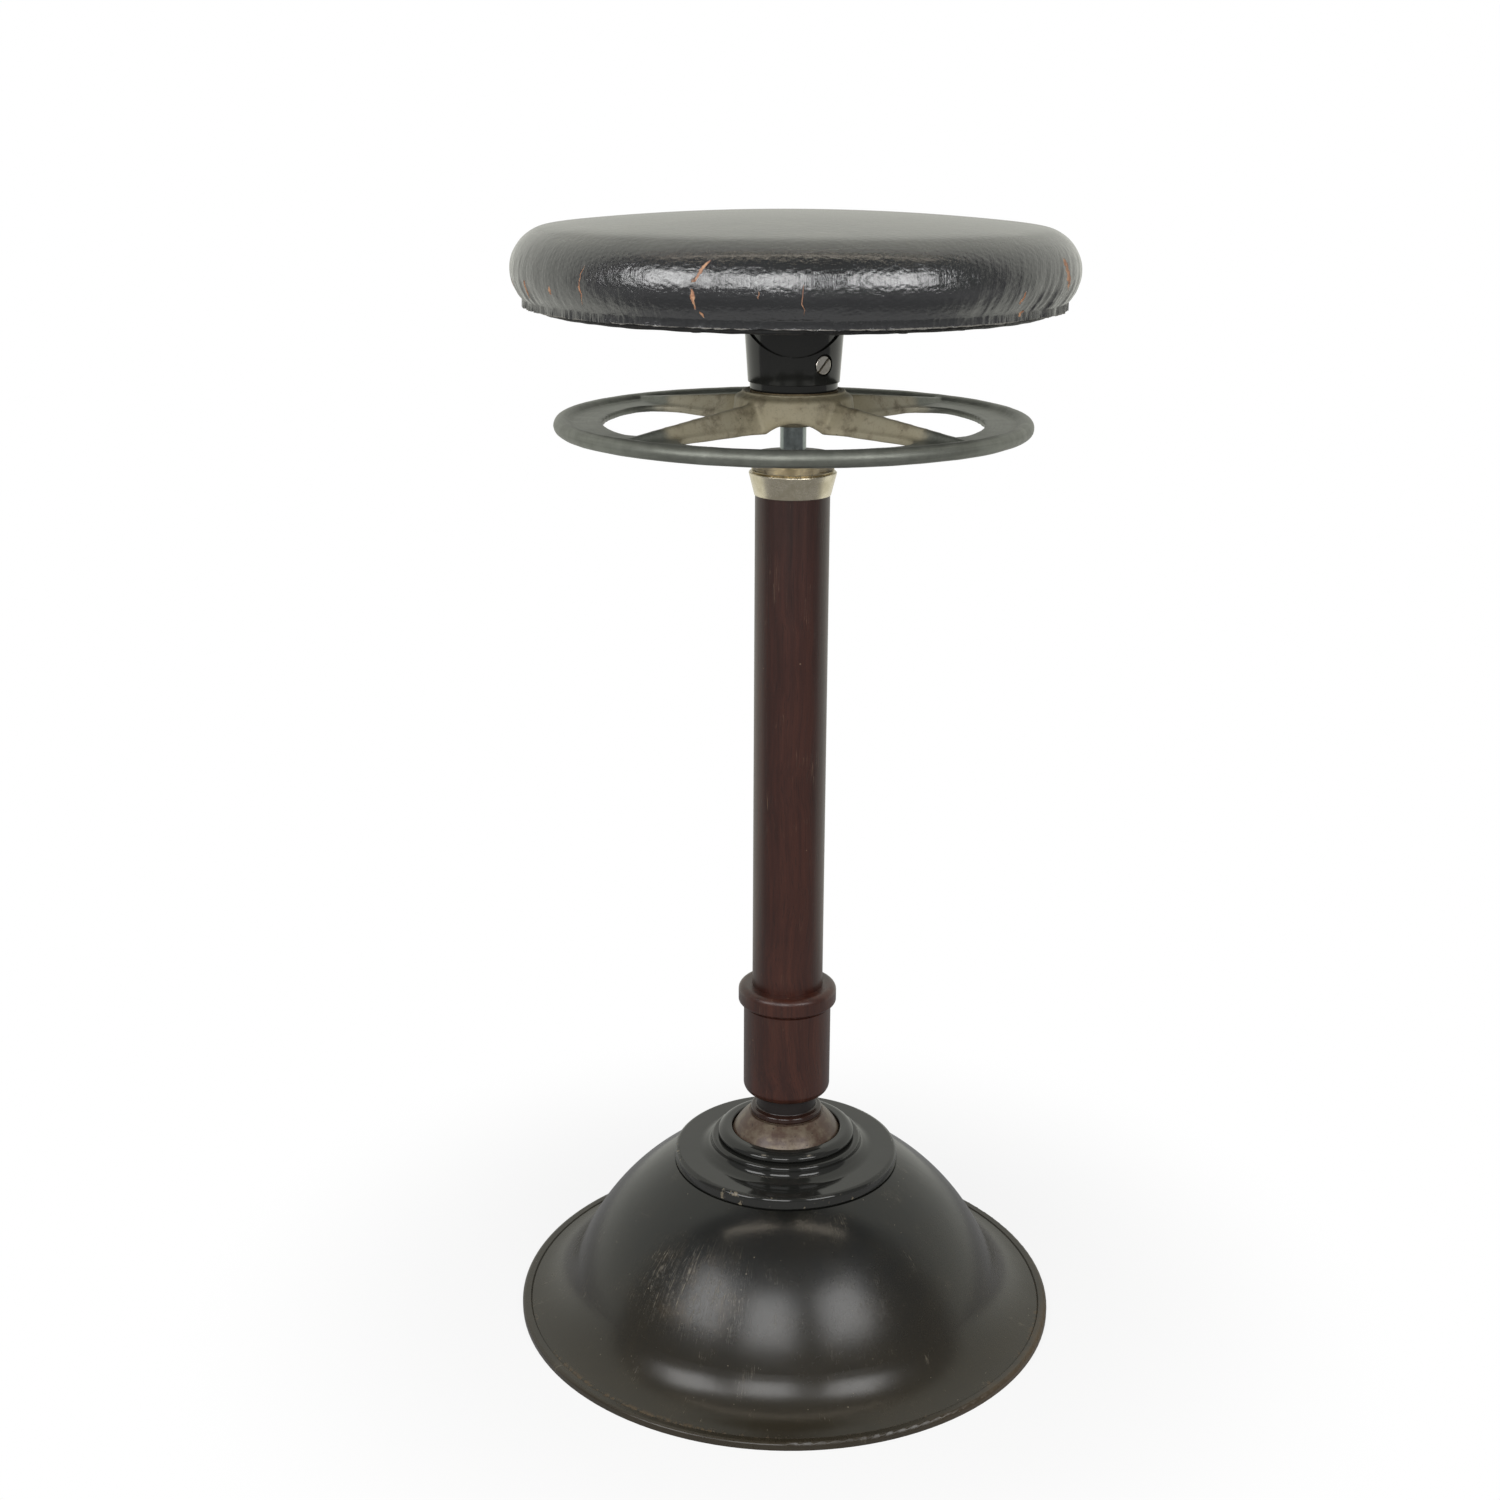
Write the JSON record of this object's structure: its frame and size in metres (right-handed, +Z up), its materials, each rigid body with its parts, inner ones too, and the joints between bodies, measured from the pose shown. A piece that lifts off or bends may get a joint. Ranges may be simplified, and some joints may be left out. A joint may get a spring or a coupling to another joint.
{
  "type": "dental stool",
  "caption": "Round leather stool on a wood column that leans on a sprung ball joint in a bell base; a handwheel screw raises the swivel seat.",
  "frame": {"origin": "centre of the foot on the floor", "axes": "+Z up along the column, -Y the front"},
  "size_m": [0.378, 0.378, 0.7617],
  "materials": {
    "base_enamel": "worn semi-gloss black-brown enamel",
    "black_enamel": "gloss black enamel",
    "cast_iron": "plain casting",
    "ball_enamel": "worn brown enamel",
    "mahogany": "satin varnish, dark red-brown",
    "nickel": "polished nickel plate",
    "spindle_steel": "polished",
    "steel": "plain",
    "spring_steel": "oiled",
    "bronze": "turned",
    "cast_aluminium": "cast, rim burnished",
    "board_wood": "dark stained",
    "seat_leather": "worn black leather with brown cracks",
    "stuffing": "hair and fibre"
  },
  "bodies": {
    "base": {"base_bell": "base_enamel", "base_flange": "black_enamel", "socket_cup": "cast_iron", "socket_ring": "black_enamel", "flange_screws": "steel"},
    "cross_pin": {"cross_pin": "steel"},
    "column": {"ball_foot": "ball_enamel", "foot_pin": "steel", "tail_bolt": "steel", "centring_spring": "spring_steel", "spring_plate": "steel", "tail_nut": "steel", "column_tube": "steel", "wood_collar": "mahogany", "column_post": "mahogany", "ferrule": "nickel", "cap_nut": "nickel", "guide_bush": "bronze", "lift_nut": "bronze", "nut_pins": "steel"},
    "carriage": {"thrust_washer": "bronze"},
    "spindle": {"spindle": "spindle_steel", "handwheel": "cast_aluminium", "wheel_pin": "steel", "stop_collar": "steel", "stop_screw": "steel"},
    "seat": {"seat_hub": "black_enamel", "hub_sleeve": "black_enamel", "hub_screw": "nickel", "plate_screws": "steel", "seat_board": "board_wood", "seat_cover": "seat_leather", "seat_stuffing": "stuffing", "hem_strip": "seat_leather", "hem_tacks": "steel"}
  },
  "joints": [
    {"name": "lean_side", "type": "hinge", "parent": "base", "child": "cross_pin", "pos_m": [0, 0, 0.1114], "axis": [0, 1, 0], "range_deg": [-10, 10], "stiffness_Nm_per_rad": 300, "deforming": ["centring_spring"]},
    {"name": "lean_fore", "type": "hinge", "parent": "cross_pin", "child": "column", "pos_m": [0, 0, 0.1114], "axis": [1, 0, 0], "range_deg": [-10, 10], "stiffness_Nm_per_rad": 300, "deforming": ["centring_spring"]},
    {"name": "seat_lift", "type": "slide", "parent": "column", "child": "carriage", "axis": [0, 0, 1], "range_m": [-0.0137, 0.1497]},
    {"name": "wheel_turn", "type": "hinge", "parent": "carriage", "child": "spindle", "pos_m": [0, 0, 0.63], "axis": [0, 0, 1], "range_deg": [-612, 6732]},
    {"name": "seat_swivel", "type": "hinge", "parent": "carriage", "child": "seat", "pos_m": [0, 0, 0.65], "axis": [0, 0, 1], "continuous": true}
  ],
  "couplings": [
    {"joint": "seat_lift", "follows": "wheel_turn", "m_per_rad": 0.0012732}
  ]
}
